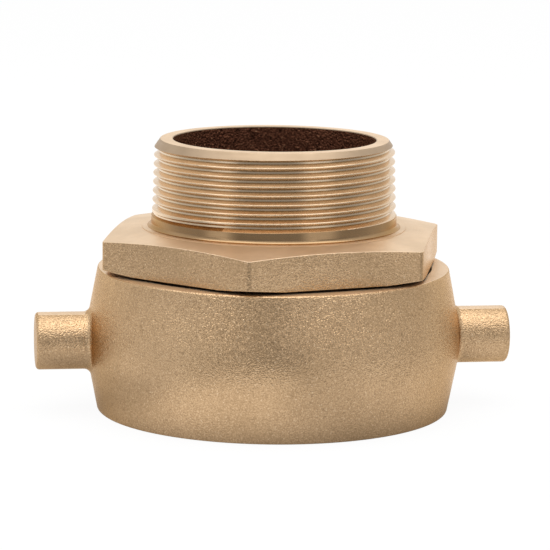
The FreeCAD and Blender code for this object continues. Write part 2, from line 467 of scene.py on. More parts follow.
@dataclass
class HexNipple:
    """The middle casting: a hexagon with a pipe thread above it and the ball skirt below."""

    top: float = 67.2 * MM
    thread_start: float = 48.55 * MM
    thread_dip: float = 0.05 * MM
    collar_foot: float = 45.65 * MM
    hex_top: float = 45.5 * MM
    hex_bottom: float = 36.0 * MM
    skirt_end: float = 24.25 * MM
    pipe_radius: float = 30.15 * MM
    pipe_taper: float = 1.0 / 32.0
    pipe_chamfer: float = 1.4 * MM
    chamfer_height: float = 2.1 * MM
    end_round: float = 0.15 * MM
    waterway_radius: float = 25.0 * MM
    waterway_round: float = 6.0 * MM
    mouth_round: float = 0.25 * MM
    collar_radius: float = 30.3 * MM
    collar_round: float = 1.0 * MM
    spot_radius: float = 32.7 * MM
    land_radius: float = 34.25 * MM
    top_slope: float = 9.65
    flat_radius: float = 38.95 * MM
    hex_turn: float = 14.6
    edge_round: float = 1.5 * MM
    rim_round: float = 0.5 * MM
    under_radius: float = 40.9 * MM
    under_slope: float = 11.2
    skirt_radius: float = 37.7 * MM
    skirt_bore: float = 31.75 * MM
    edge_break: float = 0.5 * MM
    race: BallRace = BallRace()
    steps: int = 240
    crease: float = 28.0
    # The blank stands out past the hexagon's corners, and the bar past both ends of the blank.
    blank_margin: float = 1.0 * MM
    bar_length: float = 120.0 * MM
    bar_middle: float = 40.0 * MM
    # How near a face or edge lies to the size that it is told by, and the z part of its normal.
    near: float = 0.1 * MM
    band: float = 0.6 * MM
    end_skin: float = 0.02 * MM
    upright_tilt: float = 0.05
    chamfer_tilt: float = 0.3
    side_tilt: float = 0.6
    piece: bpy.types.Object | None = field(default=None, init=False)

    def thread(self) -> VThread:
        """Returns the tapered pipe thread."""
        return VThread(
            pitch=2.209 * MM, crest_radius=self.pipe_radius, depth=1.3 * MM, crest_flat=0.3 * MM,
            start=self.thread_start - self.thread_dip, turns=7.9, phase=-227.0, taper=self.pipe_taper,
            runout=0.4, lead=0.35,
        )

    def corner_radius(self) -> float:
        """Returns the hexagon's radius at its sharp corners."""
        return self.flat_radius / math.cos(HEX_HALF)

    def outline(self) -> list[Corner]:
        """Gives the turned outline, from the skirt's foot up the outside and down the waterway.

        Returns:
            The outline's corners.
        """
        reach = self.corner_radius() + self.blank_margin
        under = self.hex_bottom + (reach - self.under_radius) * math.tan(math.radians(self.under_slope))
        over = self.hex_top - (reach - self.land_radius) * math.tan(math.radians(self.top_slope))
        end_radius = self.pipe_radius - (self.top - self.thread_start) * self.pipe_taper
        chamfer_radius = end_radius + self.chamfer_height * self.pipe_taper
        return [
            Corner(self.skirt_bore, self.skirt_end, self.edge_break, segments=1),
            Corner(self.skirt_radius, self.skirt_end, self.edge_break, segments=1),
            *self.race.groove(self.skirt_radius),
            Corner(self.skirt_radius, self.hex_bottom),
            Corner(self.under_radius, self.hex_bottom),
            Corner(reach, under),
            Corner(reach, over),
            Corner(self.land_radius, self.hex_top),
            Corner(self.spot_radius, self.hex_top),
            Corner(self.spot_radius, self.collar_foot),
            Corner(self.collar_radius, self.collar_foot, self.collar_round, segments=4),
            Corner(self.collar_radius, self.thread_start),
            Corner(self.pipe_radius, self.thread_start),
            Corner(chamfer_radius, self.top - self.chamfer_height),
            Corner(end_radius - self.pipe_chamfer, self.top, self.end_round, segments=2),
            Corner(self.waterway_radius, self.top, self.mouth_round, segments=2),
            Corner(self.waterway_radius, self.hex_top, self.waterway_round, segments=6),
            Corner(self.skirt_bore, self.hex_bottom, self.waterway_round, segments=6),
        ]

    def hex_bar(self) -> bpy.types.Object:
        """Makes the upright bar of hexagon section, rounded along its edges.

        Returns:
            The bar, longer than the nipple at both ends.
        """
        deselect_all()
        bpy.ops.mesh.primitive_cylinder_add(vertices=6, radius=self.corner_radius(), depth=self.bar_length)
        bar = bpy.context.object
        bar.name = "hex_bar"
        first = bar.data.vertices[0].co
        turn = math.radians(self.hex_turn) - math.atan2(first.y, first.x)
        bar.data.transform(Matrix.Translation(UPRIGHT * self.bar_middle) @ Matrix.Rotation(turn, 4, "Z"))
        with editing(bar):
            select_where(bar, Element.EDGE, lambda edge: edge.calc_length() > self.bar_length / 2.0)
            setback = self.edge_round * math.tan(HEX_HALF)
            bpy.ops.mesh.bevel(offset=setback, segments=5, affect="EDGES", profile=0.5)
        return bar

    def build(self) -> None:
        """Turns the blank, trims it to the hexagon, rounds the hexagon's rims and cuts the thread."""
        piece = turned_blank("nipple_casting", self.outline(), self.steps)
        carve(piece, self.hex_bar(), Carving.TRIM)
        with editing(piece):
            close_normals()
            select_where(piece, Element.EDGE, self.is_rim)
            bpy.ops.mesh.bevel(
                offset=self.rim_round, segments=3, affect="EDGES", profile=0.5, clamp_overlap=True
            )
        carve(piece, self.thread().tool("pipe_thread_tool"), Carving.CUT)
        smooth(piece, self.crease)
        self.piece = piece

    def is_rim(self, edge: bmesh.types.BMEdge) -> bool:
        """Says whether an edge lies between a hexagon side and the hexagon's top or underside.

        Args:
            edge: The edge.

        Returns:
            True for an edge that gets the rim's rounding.
        """
        middle = (edge.verts[0].co + edge.verts[1].co) / 2.0
        if not self.hex_bottom - self.near < middle.z < self.hex_top - self.near:
            return False
        if axis_distance(middle) < self.flat_radius - 2.0 * self.near or len(edge.link_faces) != 2:
            return False
        upright = [abs(face.normal.z) < self.upright_tilt for face in edge.link_faces]
        return upright[0] != upright[1]

    def finish_of(self, middle: Vector, normal: Vector) -> Finish:
        """Tells the finish of a face by its place.

        Args:
            middle: The face's middle.
            normal: The face's normal.

        Returns:
            The finish.
        """
        radius = axis_distance(middle)
        in_bore = radius < self.skirt_bore + 2.0 * self.near
        if in_bore and faces_axis(middle, normal) and middle.z < self.top - self.band:
            return Finish.CORED
        # The hexagon's underside and the skirt below it get painted shade, for the shadow in the gap.
        if not in_bore and middle.z < self.hex_bottom + self.near / 2.0:
            return Finish.GREASED
        below_end = middle.z < self.top - self.end_skin
        # The chamfer at the pipe's end takes the darker copy of turned bronze, as painted shade.
        if below_end and middle.z > self.top - self.chamfer_height and normal.z > self.chamfer_tilt:
            return Finish.FACED
        if below_end and middle.z > self.thread_start:
            return Finish.PIPE_THREAD
        # The collar and its fillet take the darker copy of turned bronze, as painted shade.
        if self.collar_foot < middle.z < self.thread_start:
            return Finish.COLLAR
        on_side = self.hex_bottom < middle.z < self.hex_top and abs(normal.z) < self.side_tilt
        if on_side and radius > self.flat_radius - self.band:
            return Finish.CAST
        return Finish.TURNED

    def dress(self, materials: Materials) -> None:
        """Gives the faces their finishes and ties the piece to the frame.

        Args:
            materials: The material of each finish.
        """
        finishes = [
            Finish.TURNED, Finish.CAST, Finish.CORED, Finish.GREASED, Finish.PIPE_THREAD, Finish.COLLAR,
            Finish.FACED,
        ]
        give_finishes(self.piece, finishes, self.finish_of, materials)
        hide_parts("hex_nipple")
        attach(self.piece, "nipple")


@dataclass
class HoseSwivel:
    """The swivel: a barrel with two spanner lugs, the hose thread and the outer ball groove."""

    height: float = 35.5 * MM
    barrel_radius: float = 46.4 * MM
    barrel_draft: float = 11.0
    barrel_round: float = 32.0 * MM
    rim_round: float = 0.4 * MM
    lug_height: float = 17.45 * MM
    lug_radius: float = 7.1 * MM
    lug_tip: float = 59.0 * MM
    lug_root_round: float = 1.5 * MM
    lug_edge_round: float = 0.9 * MM
    mouth_radius: float = 39.5 * MM
    mouth_depth: float = 3.0 * MM
    thread_minor: float = 36.95 * MM
    thread_major: float = 39.15 * MM
    recess_floor: float = 19.0 * MM
    recess_radius: float = 40.65 * MM
    gasket_seat: float = 24.0 * MM
    neck_radius: float = 38.0 * MM
    # Width of the ring of painted shade on the top face round the neck; the outline has a corner where it
    # ends.
    gap_shade_width: float = 1.3 * MM
    fill_radius: float = 3.195 * MM
    edge_break: float = 0.5 * MM
    race: BallRace = BallRace()
    steps: int = 240
    wall_rows: int = 36
    root_rings: int = 8
    edge_rings: int = 5
    crease: float = 28.0
    # The pocket that a lug is drawn out of, and how far the tools reach from the axis.
    pocket_floor: float = 43.4 * MM
    pocket_tool_end: float = 70.0 * MM
    fill_tool_end: float = 60.0 * MM
    # How near a face lies to the size that it is told by, and the z part of its normal.
    near: float = 0.1 * MM
    skin: float = 0.02 * MM
    ledge_tilt: float = 0.9
    rim_tilt: float = 0.95
    piece: bpy.types.Object | None = field(default=None, init=False)

    def thread(self) -> VThread:
        """Returns the straight hose thread."""
        return VThread(
            pitch=3.387 * MM, crest_radius=self.thread_minor, depth=self.thread_major - self.thread_minor,
            crest_flat=0.45 * MM, start=1.2 * MM, turns=5.6, inside=True,
        )

    def wall(self, height: float) -> float:
        """Gives the barrel's outer radius, rounded at the lugs and straight to both rims.

        Args:
            height: The height.

        Returns:
            The radius there.
        """
        rise = abs(height - self.lug_height)
        slope = math.radians(self.barrel_draft)
        if rise <= self.barrel_round * math.sin(slope):
            return self.barrel_radius - self.barrel_round + math.sqrt(self.barrel_round ** 2 - rise ** 2)
        apex = self.barrel_radius - self.barrel_round + self.barrel_round / math.cos(slope)
        return apex - rise * math.tan(slope)

    def surface(self, side: float, place: Vector) -> float:
        """Returns the barrel surface's x at a place's y and z, on the side given by its sign."""
        radius = self.wall(place.z)
        return side * math.sqrt(max(radius ** 2 - place.y ** 2, 0.0))

    def outline(self) -> list[Corner]:
        """Gives the turned outline, up the outside and down the inside.

        Returns:
            The outline's corners.
        """
        heights = [self.height * row / self.wall_rows for row in range(1, self.wall_rows)]
        lead = self.mouth_depth + (self.mouth_radius - self.thread_minor)
        return [
            Corner(self.mouth_radius, 0.0, self.edge_break, segments=2),
            Corner(self.wall(0.0), 0.0, self.rim_round),
            *[Corner(self.wall(height), height) for height in heights],
            Corner(self.wall(self.height), self.height, self.rim_round),
            Corner(self.neck_radius + self.gap_shade_width, self.height),
            Corner(self.neck_radius, self.height, self.edge_break, segments=2),
            *reversed(self.race.groove(self.neck_radius)),
            Corner(self.neck_radius, self.gasket_seat),
            Corner(self.recess_radius, self.gasket_seat),
            Corner(self.recess_radius, self.recess_floor),
            Corner(self.thread_minor, self.recess_floor),
            Corner(self.thread_minor, lead),
            Corner(self.mouth_radius, self.mouth_depth),
        ]

    def build(self) -> None:
        """Turns the barrel, draws out the lugs, bores the fill hole and cuts the hose thread."""
        piece = turned_blank("swivel_casting", self.outline(), self.steps)
        for side in (1.0, -1.0):
            self.draw_lug(piece, side)
        axis = UPRIGHT * self.race.height
        start = axis + BACKWARD * self.race.radius
        end = axis + BACKWARD * self.fill_tool_end
        carve(piece, round_bar("fill_tool", self.fill_radius, start, end, sides=48), Carving.CUT)
        carve(piece, self.thread().tool("hose_thread_tool"), Carving.CUT)
        smooth(piece, self.crease)
        self.piece = piece

    def draw_lug(self, piece: bpy.types.Object, side: float) -> None:
        """Opens the barrel at a lug's foot and draws the lug out of it ring by ring.

        Args:
            piece: The turned barrel.
            side: 1 for the lug at +X, -1 for the one at -X.
        """
        foot = self.lug_radius + self.lug_root_round
        axis = UPRIGHT * self.lug_height
        out = Vector((side, 0.0, 0.0))
        pocket = round_bar(
            "lug_pocket", foot, axis + out * self.pocket_floor, axis + out * self.pocket_tool_end
        )
        carve(piece, pocket, Carving.CUT)
        with editing(piece):
            select_where(
                piece, Element.FACE, lambda face: self.in_pocket(side, foot, face.calc_center_median())
            )
            bpy.ops.mesh.delete(type="FACE")
            select_where(piece, Element.EDGE, lambda edge: len(edge.link_faces) == 1)
            for ring in range(1, self.root_rings + 1):
                angle = QUARTER_TURN * ring / self.root_rings
                spread = foot - self.lug_root_round * math.sin(angle)
                rise = self.lug_root_round * (1.0 - math.cos(angle))
                self.next_ring(piece, lambda co: self.fillet_place(side, spread, rise, co))
            shaft = self.lug_tip - self.lug_edge_round
            self.next_ring(piece, lambda co: Vector((side * shaft, co.y, co.z)))
            for ring in range(1, self.edge_rings + 1):
                angle = QUARTER_TURN * ring / self.edge_rings
                spread = self.lug_radius - self.lug_edge_round * (1.0 - math.cos(angle))
                reach = shaft + self.lug_edge_round * math.sin(angle)
                self.next_ring(piece, lambda co: self.ring_place(side * reach, spread, co))
            bpy.ops.mesh.edge_face_add()
            close_normals()

    def next_ring(self, piece: bpy.types.Object, place: Callable[[Vector], Vector]) -> None:
        """Extrudes the selected loop of edges and moves it to its place."""
        bpy.ops.mesh.extrude_edges_move()
        place_selected(piece, place)

    def in_pocket(self, side: float, foot: float, middle: Vector) -> bool:
        """Says whether a face lies in the pocket cut for a lug.

        Args:
            side: The lug's side, 1 or -1.
            foot: The pocket's radius.
            middle: The face's middle.

        Returns:
            True for a face of the pocket.
        """
        if middle.x * side < self.pocket_floor - self.near:
            return False
        away = math.hypot(middle.y, middle.z - self.lug_height)
        sunk = axis_distance(middle) < self.wall(middle.z) - self.near / 2.0
        return away < foot + self.skin and sunk

    def ring_place(self, reach: float, spread: float, place: Vector) -> Vector:
        """Moves a place to a distance from the lug's axis, in one plane across it.

        Args:
            reach: The plane's x.
            spread: The distance from the lug's axis.
            place: The old place.

        Returns:
            The new place.
        """
        away = math.hypot(place.y, place.z - self.lug_height)
        scale = spread / away
        return Vector((reach, place.y * scale, self.lug_height + (place.z - self.lug_height) * scale))

    def fillet_place(self, side: float, spread: float, rise: float, place: Vector) -> Vector:
        """Moves a place to a distance from the lug's axis, at a rise above the barrel.

        Args:
            side: The lug's side, 1 or -1.
            spread: The distance from the lug's axis.
            rise: The height above the barrel's surface.
            place: The old place.

        Returns:
            The new place.
        """
        moved = self.ring_place(0.0, spread, place)
        moved.x = self.surface(side, moved) + side * rise
        return moved

    def finish_of(self, middle: Vector, normal: Vector) -> Finish:
        """Tells the finish of a face by its place.

        Args:
            middle: The face's middle.
            normal: The face's normal.

        Returns:
            The finish.
        """
        radius = axis_distance(middle)
        inward = faces_axis(middle, normal)
        in_thread = radius < self.thread_major + 2.0 * self.near and inward
        if in_thread and middle.z < self.recess_floor + self.near:
            return Finish.HOSE_THREAD
        # The swivel's neck, its race and a ring of its top face round the neck get painted shade, for the
        # shadow in the gap.
        if middle.z > self.gasket_seat + self.near and radius < self.neck_radius + self.gap_shade_width:
            return Finish.GREASED
        in_recess = radius < self.recess_radius + 2.0 * self.near
        if in_recess and (inward or abs(normal.z) > self.ledge_tilt):
            return Finish.TURNED
        if abs(normal.z) > self.rim_tilt:
            return Finish.TURNED
        return Finish.CAST

    def dress(self, materials: Materials) -> None:
        """Gives the faces their finishes and ties the piece to the frame.

        Args:
            materials: The material of each finish.
        """
        finishes = [Finish.CAST, Finish.TURNED, Finish.GREASED, Finish.HOSE_THREAD]
        give_finishes(self.piece, finishes, self.finish_of, materials)
        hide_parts("swivel_body")
        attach(self.piece, "swivel")


@dataclass
class HoseGasket:
    """The flat rubber ring in the swivel's recess."""

    radius: float = 40.5 * MM
    bore: float = 32.15 * MM
    bottom: float = 19.24 * MM
    top: float = 24.0 * MM
    edge_round: float = 0.7 * MM
    edge_segments: int = 4
    steps: int = 160
    crease: float = 35.0
    piece: bpy.types.Object | None = field(default=None, init=False)

    def build(self) -> None:
        """Turns the ring with its moulded edges."""
        edges = [
            (self.bore, self.bottom), (self.radius, self.bottom),
            (self.radius, self.top), (self.bore, self.top),
        ]
        corners = [Corner(radius, height, self.edge_round, self.edge_segments) for radius, height in edges]
        self.piece = turned_blank("hose_gasket", corners, self.steps)
        smooth(self.piece, self.crease)

    def dress(self, materials: Materials) -> None:
        """Gives the ring its rubber and ties it to the frame.

        Args:
            materials: The material of each finish.
        """
        give_finishes(self.piece, [Finish.RUBBER], lambda middle, normal: Finish.RUBBER, materials)
        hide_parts("gasket")
        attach(self.piece, "swivel")


@dataclass
class FillPlug:
    """The slotted plug that closes the hole through which the balls go in."""

    radius: float = 3.175 * MM
    inner: float = 40.351 * MM
    outer: float = 43.491 * MM
    height: float = 29.75 * MM
    slot_width: float = 1.2 * MM
    slot_depth: float = 1.2 * MM
    slot_length: float = 9.525 * MM
    edge_round: float = 0.25 * MM
    crease: float = 30.0
    piece: bpy.types.Object | None = field(default=None, init=False)

    def build(self) -> None:
        """Makes the plug, rounds its ends and cuts the driver slot."""
        axis = UPRIGHT * self.height
        inner_end = axis + BACKWARD * self.inner
        outer_end = axis + BACKWARD * self.outer
        plug = round_bar("fill_plug_brass", self.radius, inner_end, outer_end, sides=64)
        with editing(plug):
            select_where(
                plug, Element.EDGE, lambda edge: abs(edge.verts[0].co.y - edge.verts[1].co.y) < CLOSE_POINT
            )
            bpy.ops.mesh.bevel(offset=self.edge_round, segments=3, affect="EDGES", profile=0.5)
        deselect_all()
        bpy.ops.mesh.primitive_cube_add(size=1.0)
        blade = bpy.context.object
        size = Matrix.Diagonal((self.slot_length, 2.0 * self.slot_depth, self.slot_width, 1.0))
        blade.data.transform(Matrix.Translation(outer_end) @ size)
        carve(plug, blade, Carving.CUT)
        smooth(plug, self.crease)
        self.piece = plug

    def dress(self, materials: Materials) -> None:
        """Gives the plug its brass and ties it to the frame.

        Args:
            materials: The material of each finish.
        """
        give_finishes(self.piece, [Finish.BRASS], lambda middle, normal: Finish.BRASS, materials)
        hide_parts("fill_plug")
        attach(self.piece, "swivel")


@dataclass
class BallRing:
    """The ring of loose balls, whose solids are shown as they are."""

    prefix: str = "race_ball"

    def dress(self, materials: Materials) -> int:
        """Gives every ball its steel.

        Args:
            materials: The material of each finish.

        Returns:
            The number of balls.
        """
        balls = [node for name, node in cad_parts.items() if name.startswith(self.prefix)]
        for ball in balls:
            ball.data.materials.clear()
            ball.data.materials.append(materials[Finish.STEEL])
        return len(balls)


class Nodes:
    """A small hand for building a node tree: adds nodes, sets their values and links them."""

    def __init__(self, tree: bpy.types.NodeTree) -> None:
        """Starts on an emptied tree.

        Args:
            tree: The tree.
        """
        self.tree = tree
        self.column = 0
        tree.nodes.clear()

    def add(self, kind: str, values: dict[Any, Any] | None = None, **settings: Any) -> bpy.types.Node:
        """Adds a node.

        Args:
            kind: The node's type name.
            values: Input values or sockets to link, by input name or number.
            **settings: The node's own settings.

        Returns:
            The new node.
        """
        node = self.tree.nodes.new(kind)
        node.location = (NODE_SPACING * self.column, 0.0)
        self.column += 1
        for key, value in settings.items():
            setattr(node, key, value)
        for key, value in (values or {}).items():
            if isinstance(value, bpy.types.NodeSocket):
                self.tree.links.new(value, node.inputs[key])
            else:
                node.inputs[key].default_value = value
        return node

    def math(self, operation: str, first: Any, second: Any = 0.0, third: Any = 0.0) -> bpy.types.NodeSocket:
        """Adds a Math node and returns its output."""
        node = self.add("ShaderNodeMath", {0: first, 1: second, 2: third}, operation=operation)
        return node.outputs[0]

    def ramp(
        self, value: Any, low: float, high: float, to_low: Any = 0.0, to_high: Any = 1.0, eased: bool = True
    ) -> bpy.types.NodeSocket:
        """Adds a map of a value from one range to another.

        Args:
            value: The value to map.
            low: The value that gives to_low.
            high: The value that gives to_high.
            to_low: The result at the low end.
            to_high: The result at the high end.
            eased: Whether the map starts and ends softly.

        Returns:
            The result.
        """
        node = self.add(
            "ShaderNodeMapRange",
            {0: value, 1: low, 2: high, 3: to_low, 4: to_high},
            interpolation_type="SMOOTHSTEP" if eased else "LINEAR",
        )
        return node.outputs[0]

    def bands(self, value: Any, low: float, high: float, stops: Stops) -> bpy.types.NodeSocket:
        """Adds a map of a value that passes softly through several stops.

        Args:
            value: The value to map.
            low: The lowest value mapped.
            high: The highest value mapped.
            stops: Pairs of a value and the strength there, upwards.

        Returns:
            The strength.
        """
        node = self.add("ShaderNodeValToRGB", {0: self.ramp(value, low, high, eased=False)})
        node.color_ramp.interpolation = "EASE"
        marks = node.color_ramp.elements
        for mark in range(len(stops) - len(marks)):
            marks.new((mark + 1.0) / len(stops))
        for mark, (place, strength) in zip(marks, stops):
            mark.position = (place - low) / (high - low)
            mark.color = (strength, strength, strength, 1.0)
        return node.outputs["Color"]

    def mix(self, factor: Any, first: Any, second: Any) -> bpy.types.NodeSocket:
        """Adds a colour mix and returns its output."""
        node = self.add("ShaderNodeMix", {0: factor, 6: first, 7: second}, data_type="RGBA")
        return node.outputs[2]

    def noise(
        self, place: Any, scale: Any, detail: float = 2.0, roughness: float = 0.5
    ) -> bpy.types.NodeSocket:
        """Adds a noise texture and returns its value."""
        values = {"Vector": place, "Scale": scale, "Detail": detail, "Roughness": roughness}
        return self.add("ShaderNodeTexNoise", values).outputs["Fac"]

    def place(self) -> bpy.types.NodeSocket:
        """Adds the place on the piece, in its own coordinates, and returns it."""
        return self.add("ShaderNodeTexCoord").outputs["Object"]

    def split(self, place: bpy.types.NodeSocket) -> dict[str, bpy.types.NodeSocket]:
        """Splits a place and returns its parts by their names X, Y and Z."""
        return {part.name: part for part in self.add("ShaderNodeSeparateXYZ", {0: place}).outputs}

    def radius(self, parts: dict[str, bpy.types.NodeSocket]) -> bpy.types.NodeSocket:
        """Adds the distance of a place from the upright axis.

        Args:
            parts: The place's parts by name.

        Returns:
            The distance.
        """
        across = self.math("POWER", parts["X"], 2.0)
        along = self.math("POWER", parts["Y"], 2.0)
        return self.math("SQRT", self.math("ADD", across, along))

    def seen(self, path: bpy.types.Node) -> bpy.types.NodeSocket:
        """Adds the mask of the camera's own rays, straight or through glass, and returns it."""
        return self.math("MAXIMUM", path.outputs["Is Camera Ray"], path.outputs["Is Transmission Ray"])

    def shade(self, values: dict[str, Any]) -> None:
        """Adds the Principled shader with its values and the output."""
        shader = self.add("ShaderNodeBsdfPrincipled", values)
        self.add("ShaderNodeOutputMaterial", {"Surface": shader.outputs[0]})


def new_material(name: str) -> tuple[bpy.types.Material, Nodes]:
    """Starts a material with an empty node tree.

    Args:
        name: The material's name.

    Returns:
        The material and the hand that builds its nodes.
    """
    material = bpy.data.materials.new(name)
    material.use_nodes = True
    return material, Nodes(material.node_tree)


class SharedEffects:
    """The node groups that more than one finish uses."""

    def __init__(self) -> None:
        """Builds each group once."""
        self.grain = self.sand_grain()
        self.lines = self.tool_lines()
        self.root_shade = self.thread_crevice()

    @staticmethod
    def group(
        name: str, inputs: dict[str, float], outputs: Sequence[str]
    ) -> tuple[bpy.types.NodeTree, Nodes]:
        """Starts a group with number inputs and outputs.

        Args:
            name: The group's name.
            inputs: Each input's name and usual value.
            outputs: The outputs' names.

        Returns:
            The group and the hand that builds it.
        """
        tree = bpy.data.node_groups.new(name, "ShaderNodeTree")
        for key, value in inputs.items():
            socket = tree.interface.new_socket(key, in_out="INPUT", socket_type="NodeSocketFloat")
            socket.default_value = value
        for key in outputs:
            tree.interface.new_socket(key, in_out="OUTPUT", socket_type="NodeSocketFloat")
        return tree, Nodes(tree)

    def sand_grain(self) -> bpy.types.NodeTree:
        """Builds the grain of a sand-cast skin: close fine lumps, few pits and slow changes of tone.

        Returns:
            The group, with the outputs Height, Speck, Tone and Pits.
        """
        sand_share = 0.7
        wide_share = 0.9
        wide_step = 0.3
        inputs = {"Grain Size": 0.45, "Pit Amount": 0.3}
        tree, hand = self.group("sand_grain", inputs, ["Height", "Speck", "Tone", "Pits"])
        entry = hand.add("NodeGroupInput")
        place = hand.place()
        scale = hand.math("DIVIDE", PER_METRE, entry.outputs["Grain Size"])
        wide_scale = hand.math("MULTIPLY", scale, wide_step)
        cell_values = {"Vector": place, "Scale": scale, "Smoothness": 0.35}
        cells = hand.add("ShaderNodeTexVoronoi", cell_values, feature="SMOOTH_F1")
        sand = hand.math("SUBTRACT", 1.0, cells.outputs["Distance"])
        fine = hand.noise(place, scale, detail=1.5)
        wide = hand.noise(place, wide_scale)
        lumps = hand.math("MULTIPLY_ADD", sand, sand_share, fine)
        lumps = hand.math("MULTIPLY_ADD", wide, wide_share, lumps)
        sparse = hand.ramp(hand.noise(place, wide_scale, detail=1.0), low=0.62, high=0.72)
        pits = hand.math("MULTIPLY", sparse, entry.outputs["Pit Amount"])
        patches = hand.noise(place, scale=32.0, detail=1.0)
        patch = hand.ramp(patches, low=0.36, high=0.64, to_low=0.6, to_high=1.25)
        height = hand.math("MULTIPLY", hand.math("SUBTRACT", lumps, pits), patch)
        slow = hand.noise(place, scale=45.0, detail=3.0, roughness=0.55)
        hand.add("NodeGroupOutput", {"Height": height, "Speck": fine, "Tone": slow, "Pits": pits})
        return tree

    def tool_lines(self) -> bpy.types.NodeTree:
        """Builds the fine rings that a turning tool leaves round the upright axis.

        Returns:
            The group, with the outputs Height and Tone.
        """
        tree, hand = self.group("tool_lines", {"Line Spacing": 0.18, "Streak": 3.0}, ["Height", "Tone"])
        entry = hand.add("NodeGroupInput")
        place = hand.place()
        parts = hand.split(place)
        along = hand.math("ADD", hand.radius(parts), parts["Z"])
        rows = hand.math("DIVIDE", hand.math("MULTIPLY", along, PER_METRE), entry.outputs["Line Spacing"])
        angle = hand.math("ARCTAN2", parts["Y"], parts["X"])
        sweep = hand.math("MULTIPLY", angle, entry.outputs["Streak"])
        unrolled = hand.add("ShaderNodeCombineXYZ", {0: rows, 1: sweep})
        height = hand.noise(unrolled.outputs[0], scale=1.0, roughness=0.6)
        tone = hand.noise(place, scale=90.0, detail=3.0, roughness=0.6)
        hand.add("NodeGroupOutput", {"Height": height, "Tone": tone})
        return tree

    def thread_crevice(self) -> bpy.types.NodeTree:
        """Builds the mask of the painted shade in a thread's roots, from the depth below its crests.

        Returns:
            The group, with the output Root.
        """
        inputs = {"Crest Radius": 0.03, "Base Height": 0.0, "Taper": 0.0, "Depth": 0.0016}
        tree, hand = self.group("thread_crevice", inputs, ["Root"])
        entry = hand.add("NodeGroupInput")
        parts = hand.split(hand.place())
        rise = hand.math("SUBTRACT", parts["Z"], entry.outputs["Base Height"])
        fall = hand.math("MULTIPLY", rise, entry.outputs["Taper"])
        crest = hand.math("SUBTRACT", entry.outputs["Crest Radius"], fall)
        depth = hand.math("SUBTRACT", crest, hand.radius(parts))
        part = hand.math("DIVIDE", depth, entry.outputs["Depth"])
        hand.add("NodeGroupOutput", {"Root": hand.ramp(part, low=0.55, high=1.0)})
        return tree


@dataclass(frozen=True)
class CastBronze:
    """Sand-cast bronze skin, dull and grainy."""

    light: Colour = (0.62, 0.424, 0.246, 1.0)
    dark: Colour = (0.43, 0.282, 0.156, 1.0)
    pit: Colour = (0.24, 0.145, 0.075, 1.0)
    pale: Colour = (0.80, 0.62, 0.44, 1.0)
    # The tint of what the metal mirrors at a glancing angle.
    glance: Colour = (0.92, 0.76, 0.58, 1.0)
    grain: float = 0.36
    pits: float = 0.25
    depth: float = 0.1 * MM
    roughness: tuple[float, float] = (0.22, 0.3)
    tone_share: float = 0.35
    # How strongly the grain stands out by height: coarser on the swivel's upper half.
    relief: Stops = ((0.004, 0.85), (0.018, 1.15), (0.030, 1.6), (0.034, 1.6), (0.0365, 1.0))
    relief_top: float = 0.07

    def material(self, name: str, effects: SharedEffects) -> bpy.types.Material:
        """Builds the material.

        Args:
            name: The material's name.
            effects: The shared node groups.

        Returns:
            The material.
        """
        material, hand = new_material(name)
        sizes = {"Grain Size": self.grain, "Pit Amount": self.pits}
        grain = hand.add("ShaderNodeGroup", sizes, node_tree=effects.grain).outputs
        mottle = hand.math("MULTIPLY_ADD", grain["Tone"], self.tone_share, grain["Speck"])
        colour = hand.mix(hand.ramp(mottle, low=0.44, high=0.92), self.dark, self.light)
        colour = hand.mix(hand.ramp(grain["Speck"], low=0.62, high=0.85), colour, self.pale)
        colour = hand.mix(grain["Pits"], colour, self.pit)
        smoothest, roughest = self.roughness
        rough = hand.ramp(grain["Tone"], low=0.3, high=0.7, to_low=roughest, to_high=smoothest)
        coarse = hand.bands(hand.split(hand.place())["Z"], 0.0, self.relief_top, self.relief)
        height = hand.math("MULTIPLY", grain["Height"], coarse)
        bump = hand.add("ShaderNodeBump", {"Height": height, "Distance": self.depth})
        hand.shade({
            "Base Color": colour, "Roughness": rough, "Normal": bump.outputs[0], "Metallic": 1.0,
            "Specular Tint": self.glance,
        })
        return material


@dataclass(frozen=True)
class TurnedBronze:
    """Machined bronze with the tool's fine rings, with painted shade darkening a thread's roots."""

    light: Colour = (0.80, 0.615, 0.43, 1.0)
    dark: Colour = (0.70, 0.53, 0.36, 1.0)
    # Painted shade in a thread's roots.
    root: Colour = (0.58, 0.41, 0.265, 1.0)
    # The tint of what the metal mirrors at a glancing angle.
    glance: Colour = (1.0, 0.95, 0.89, 1.0)
    spacing: float = 0.22
    depth: float = 0.012 * MM
    roughness: tuple[float, float] = (0.4, 0.5)
    thread: VThread | None = None

    def material(self, name: str, effects: SharedEffects) -> bpy.types.Material:
        """Builds the material.

        Args:
            name: The material's name.
            effects: The shared node groups.

        Returns:
            The material.
        """
        material, hand = new_material(name)
        lines = hand.add("ShaderNodeGroup", {"Line Spacing": self.spacing}, node_tree=effects.lines).outputs
        colour = hand.mix(hand.ramp(lines["Tone"], low=0.3, high=0.7), self.dark, self.light)
        # Painted shade: the colour darkens towards a thread's roots.
        if self.thread is not None:
            sizes = {
                "Crest Radius": self.thread.crest_radius,
                "Base Height": self.thread.start,
                "Taper": self.thread.taper,
                "Depth": -self.thread.depth if self.thread.inside else self.thread.depth,
            }
            root_shade = hand.add("ShaderNodeGroup", sizes, node_tree=effects.root_shade)
            colour = hand.mix(root_shade.outputs["Root"], colour, self.root)
        smoothest, roughest = self.roughness
        rough = hand.ramp(lines["Height"], low=0.3, high=0.7, to_low=smoothest, to_high=roughest)
        bump = hand.add("ShaderNodeBump", {"Height": lines["Height"], "Distance": self.depth})
        hand.shade({
            "Base Color": colour, "Roughness": rough, "Normal": bump.outputs[0], "Metallic": 1.0,
            "Specular Tint": self.glance,
        })
        return material


